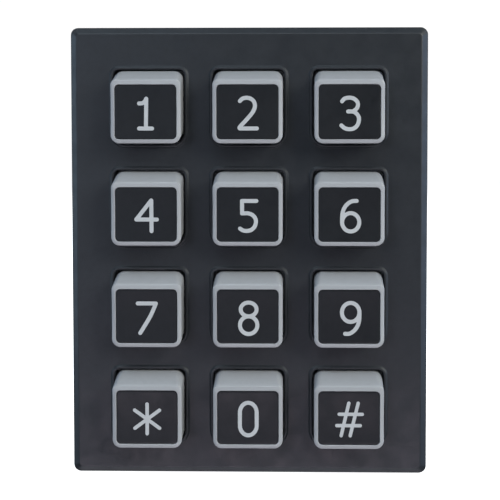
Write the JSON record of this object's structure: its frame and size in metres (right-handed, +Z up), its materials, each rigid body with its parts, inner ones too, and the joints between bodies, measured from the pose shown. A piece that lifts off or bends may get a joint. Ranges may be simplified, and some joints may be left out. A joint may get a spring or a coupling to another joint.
{
  "type": "access keypad",
  "caption": "Wall-mounted access keypad: a black rectangular case with a grid of raised pale grey push keys, each with a dished black face, on a steel wall plate.",
  "frame": {"origin": "middle of the case's outline, on the wall plane at the back of the wall plate", "axes": "+Z up the wall, +Y into the wall, so the keys face -Y; +X to the right of someone facing the keys"},
  "size_m": [0.0684, 0.0255, 0.086],
  "materials": {
    "case_plastic": "fine moulded texture, black",
    "cover_plastic": "fine moulded texture, black",
    "key_grey": "satin, pale grey",
    "key_black": "satin, black, with a pale moulded legend",
    "silicone": "translucent grey silicone rubber",
    "carbon": "conductive carbon-loaded rubber",
    "board_green": "glass-fibre board with green solder mask",
    "gold_pads": "gold-plated copper",
    "plate_steel": "zinc-plated sheet steel",
    "gasket_foam": "closed-cell foam rubber",
    "screw_steel": "stainless steel",
    "screw_zinc": "zinc-plated steel",
    "chip_black": "epoxy moulding compound",
    "tinned_legs": "tinned copper",
    "can_metal": "nickel-plated can",
    "cap_aluminium": "drawn aluminium can",
    "resistor_black": "ceramic chip with a glazed top",
    "terminal_green": "green nylon",
    "legend_ink": "satin, near-white, moulded into the black face"
  },
  "bodies": {
    "housing": {"front_case": "case_plastic", "rear_cover": "cover_plastic", "wall_plate": "plate_steel", "wall_gasket": "gasket_foam", "security_screw": "screw_steel", "case_screws": "screw_zinc", "circuit_board": "board_green", "contact_pads": "gold_pads", "silicone_mat": "silicone", "controller_chip": "chip_black", "chip_legs": "tinned_legs", "crystal_can": "can_metal", "voltage_regulator": "chip_black", "filter_capacitor": "cap_aluminium", "buzzer": "chip_black", "chip_resistors": "resistor_black", "terminal_block": "terminal_green", "terminal_screws": "screw_zinc"},
    "key_1": {"keycap_1": "key_grey", "key_face_1": "key_black", "contact_pill_1": "carbon"},
    "key_2": {"keycap_2": "key_grey", "key_face_2": "key_black", "contact_pill_2": "carbon"},
    "key_3": {"keycap_3": "key_grey", "key_face_3": "key_black", "contact_pill_3": "carbon"},
    "key_4": {"keycap_4": "key_grey", "key_face_4": "key_black", "contact_pill_4": "carbon"},
    "key_5": {"keycap_5": "key_grey", "key_face_5": "key_black", "contact_pill_5": "carbon"},
    "key_6": {"keycap_6": "key_grey", "key_face_6": "key_black", "contact_pill_6": "carbon"},
    "key_7": {"keycap_7": "key_grey", "key_face_7": "key_black", "contact_pill_7": "carbon"},
    "key_8": {"keycap_8": "key_grey", "key_face_8": "key_black", "contact_pill_8": "carbon"},
    "key_9": {"keycap_9": "key_grey", "key_face_9": "key_black", "contact_pill_9": "carbon"},
    "key_star": {"keycap_star": "key_grey", "key_face_star": "key_black", "contact_pill_star": "carbon"},
    "key_0": {"keycap_0": "key_grey", "key_face_0": "key_black", "contact_pill_0": "carbon"},
    "key_hash": {"keycap_hash": "key_grey", "key_face_hash": "key_black", "contact_pill_hash": "carbon"}
  },
  "joints": [
    {"name": "press_key_1", "type": "slide", "parent": "housing", "child": "key_1", "axis": [0, 1, 0], "range_m": [0, 0.0018], "stiffness_N_per_m": 800, "springref_m": -0.0006, "deforming": ["silicone_mat"]},
    {"name": "press_key_2", "type": "slide", "parent": "housing", "child": "key_2", "axis": [0, 1, 0], "range_m": [0, 0.0018], "stiffness_N_per_m": 800, "springref_m": -0.0006, "deforming": ["silicone_mat"]},
    {"name": "press_key_3", "type": "slide", "parent": "housing", "child": "key_3", "axis": [0, 1, 0], "range_m": [0, 0.0018], "stiffness_N_per_m": 800, "springref_m": -0.0006, "deforming": ["silicone_mat"]},
    {"name": "press_key_4", "type": "slide", "parent": "housing", "child": "key_4", "axis": [0, 1, 0], "range_m": [0, 0.0018], "stiffness_N_per_m": 800, "springref_m": -0.0006, "deforming": ["silicone_mat"]},
    {"name": "press_key_5", "type": "slide", "parent": "housing", "child": "key_5", "axis": [0, 1, 0], "range_m": [0, 0.0018], "stiffness_N_per_m": 800, "springref_m": -0.0006, "deforming": ["silicone_mat"]},
    {"name": "press_key_6", "type": "slide", "parent": "housing", "child": "key_6", "axis": [0, 1, 0], "range_m": [0, 0.0018], "stiffness_N_per_m": 800, "springref_m": -0.0006, "deforming": ["silicone_mat"]},
    {"name": "press_key_7", "type": "slide", "parent": "housing", "child": "key_7", "axis": [0, 1, 0], "range_m": [0, 0.0018], "stiffness_N_per_m": 800, "springref_m": -0.0006, "deforming": ["silicone_mat"]},
    {"name": "press_key_8", "type": "slide", "parent": "housing", "child": "key_8", "axis": [0, 1, 0], "range_m": [0, 0.0018], "stiffness_N_per_m": 800, "springref_m": -0.0006, "deforming": ["silicone_mat"]},
    {"name": "press_key_9", "type": "slide", "parent": "housing", "child": "key_9", "axis": [0, 1, 0], "range_m": [0, 0.0018], "stiffness_N_per_m": 800, "springref_m": -0.0006, "deforming": ["silicone_mat"]},
    {"name": "press_key_star", "type": "slide", "parent": "housing", "child": "key_star", "axis": [0, 1, 0], "range_m": [0, 0.0018], "stiffness_N_per_m": 800, "springref_m": -0.0006, "deforming": ["silicone_mat"]},
    {"name": "press_key_0", "type": "slide", "parent": "housing", "child": "key_0", "axis": [0, 1, 0], "range_m": [0, 0.0018], "stiffness_N_per_m": 800, "springref_m": -0.0006, "deforming": ["silicone_mat"]},
    {"name": "press_key_hash", "type": "slide", "parent": "housing", "child": "key_hash", "axis": [0, 1, 0], "range_m": [0, 0.0018], "stiffness_N_per_m": 800, "springref_m": -0.0006, "deforming": ["silicone_mat"]}
  ]
}
